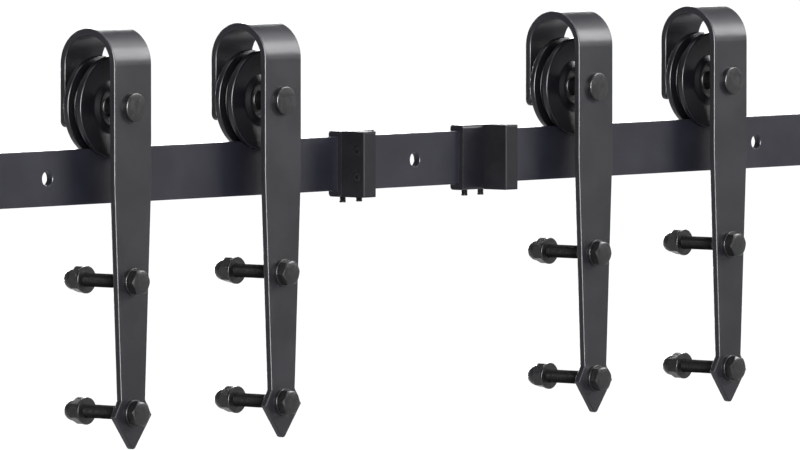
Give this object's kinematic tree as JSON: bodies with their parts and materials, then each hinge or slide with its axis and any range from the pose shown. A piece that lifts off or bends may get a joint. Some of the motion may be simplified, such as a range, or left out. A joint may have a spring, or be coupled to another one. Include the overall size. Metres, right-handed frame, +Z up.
{
  "type": "sliding barn door hardware",
  "caption": "Flat rail for a pair of sliding barn doors, with arrow-shaped strap hangers on grooved ball bearing wheels and clamp-on stops; the doors are bolted to the hangers' front legs.",
  "frame": {"origin": "on the back (wall) face of the rail, at the axis of its middle screw hole", "axes": "+X along the rail to the right as seen from the room, +Y towards the wall, -Y towards the room, +Z up"},
  "size_m": [1.2192, 0.0734, 0.3034],
  "materials": {
    "rail_powder_coat": "satin black powder coat on steel",
    "strap_powder_coat": "satin black powder coat on steel",
    "black_bolt": "semi-gloss black finished steel",
    "black_screw": "black oxide steel",
    "bumper_rubber": "satin black moulded rubber",
    "wheel_nylon": "polished black nylon",
    "bearing_steel": "ground bearing steel",
    "seal_rubber": "black rubber over a thin steel ring"
  },
  "bodies": {
    "rail_assembly": {"rail": "rail_powder_coat", "left_end_stop_body": "strap_powder_coat", "left_end_stop_bumper": "bumper_rubber", "left_centre_stop_body": "strap_powder_coat", "left_centre_stop_bumper": "bumper_rubber", "right_centre_stop_body": "strap_powder_coat", "right_centre_stop_bumper": "bumper_rubber", "right_end_stop_body": "strap_powder_coat", "right_end_stop_bumper": "bumper_rubber", "stop_grub_screws": "black_screw", "stop_bumper_screws": "black_screw"},
    "hanger_1": {"hanger_strap_1": "strap_powder_coat", "axle_bolt_1": "black_bolt", "axle_nut_1": "black_bolt", "axle_spacers_1": "black_bolt", "bearing_inner_race_1": "bearing_steel", "door_bolts_1": "black_bolt", "door_washers_1": "black_bolt", "cap_nuts_1": "black_bolt"},
    "wheel_1": {"wheel_1": "wheel_nylon", "bearing_outer_race_1": "bearing_steel", "bearing_ball_set_1": "bearing_steel", "bearing_shields_1": "seal_rubber"},
    "hanger_2": {"hanger_strap_2": "strap_powder_coat", "axle_bolt_2": "black_bolt", "axle_nut_2": "black_bolt", "axle_spacers_2": "black_bolt", "bearing_inner_race_2": "bearing_steel", "door_bolts_2": "black_bolt", "door_washers_2": "black_bolt", "cap_nuts_2": "black_bolt"},
    "wheel_2": {"wheel_2": "wheel_nylon", "bearing_outer_race_2": "bearing_steel", "bearing_ball_set_2": "bearing_steel", "bearing_shields_2": "seal_rubber"},
    "hanger_3": {"hanger_strap_3": "strap_powder_coat", "axle_bolt_3": "black_bolt", "axle_nut_3": "black_bolt", "axle_spacers_3": "black_bolt", "bearing_inner_race_3": "bearing_steel", "door_bolts_3": "black_bolt", "door_washers_3": "black_bolt", "cap_nuts_3": "black_bolt"},
    "wheel_3": {"wheel_3": "wheel_nylon", "bearing_outer_race_3": "bearing_steel", "bearing_ball_set_3": "bearing_steel", "bearing_shields_3": "seal_rubber"},
    "hanger_4": {"hanger_strap_4": "strap_powder_coat", "axle_bolt_4": "black_bolt", "axle_nut_4": "black_bolt", "axle_spacers_4": "black_bolt", "bearing_inner_race_4": "bearing_steel", "door_bolts_4": "black_bolt", "door_washers_4": "black_bolt", "cap_nuts_4": "black_bolt"},
    "wheel_4": {"wheel_4": "wheel_nylon", "bearing_outer_race_4": "bearing_steel", "bearing_ball_set_4": "bearing_steel", "bearing_shields_4": "seal_rubber"}
  },
  "joints": [
    {"name": "hanger_1_slide", "type": "slide", "parent": "rail_assembly", "child": "hanger_1", "axis": [1, 0, 0], "range_m": [-0.1921, 0.061]},
    {"name": "wheel_1_spin", "type": "hinge", "parent": "hanger_1", "child": "wheel_1", "pos_m": [-0.3405, -0.003, 0.0498], "axis": [0, 1, 0], "continuous": true},
    {"name": "hanger_2_slide", "type": "slide", "parent": "rail_assembly", "child": "hanger_2", "axis": [1, 0, 0], "range_m": [-0.1921, 0.061]},
    {"name": "wheel_2_spin", "type": "hinge", "parent": "hanger_2", "child": "wheel_2", "pos_m": [-0.176, -0.003, 0.0498], "axis": [0, 1, 0], "continuous": true},
    {"name": "hanger_3_slide", "type": "slide", "parent": "rail_assembly", "child": "hanger_3", "axis": [1, 0, 0], "range_m": [-0.0685, 0.1866]},
    {"name": "wheel_3_spin", "type": "hinge", "parent": "hanger_3", "child": "wheel_3", "pos_m": [0.1835, -0.003, 0.0498], "axis": [0, 1, 0], "continuous": true},
    {"name": "hanger_4_slide", "type": "slide", "parent": "rail_assembly", "child": "hanger_4", "axis": [1, 0, 0], "range_m": [-0.0685, 0.1866]},
    {"name": "wheel_4_spin", "type": "hinge", "parent": "hanger_4", "child": "wheel_4", "pos_m": [0.346, -0.003, 0.0498], "axis": [0, 1, 0], "continuous": true}
  ],
  "couplings": [
    {"joint": "wheel_1_spin", "follows": "hanger_1_slide", "rad_per_m": 33.898},
    {"joint": "hanger_2_slide", "follows": "hanger_1_slide", "ratio": 1},
    {"joint": "wheel_2_spin", "follows": "hanger_1_slide", "rad_per_m": 33.898},
    {"joint": "wheel_3_spin", "follows": "hanger_3_slide", "rad_per_m": 33.898},
    {"joint": "hanger_4_slide", "follows": "hanger_3_slide", "ratio": 1},
    {"joint": "wheel_4_spin", "follows": "hanger_3_slide", "rad_per_m": 33.898}
  ]
}
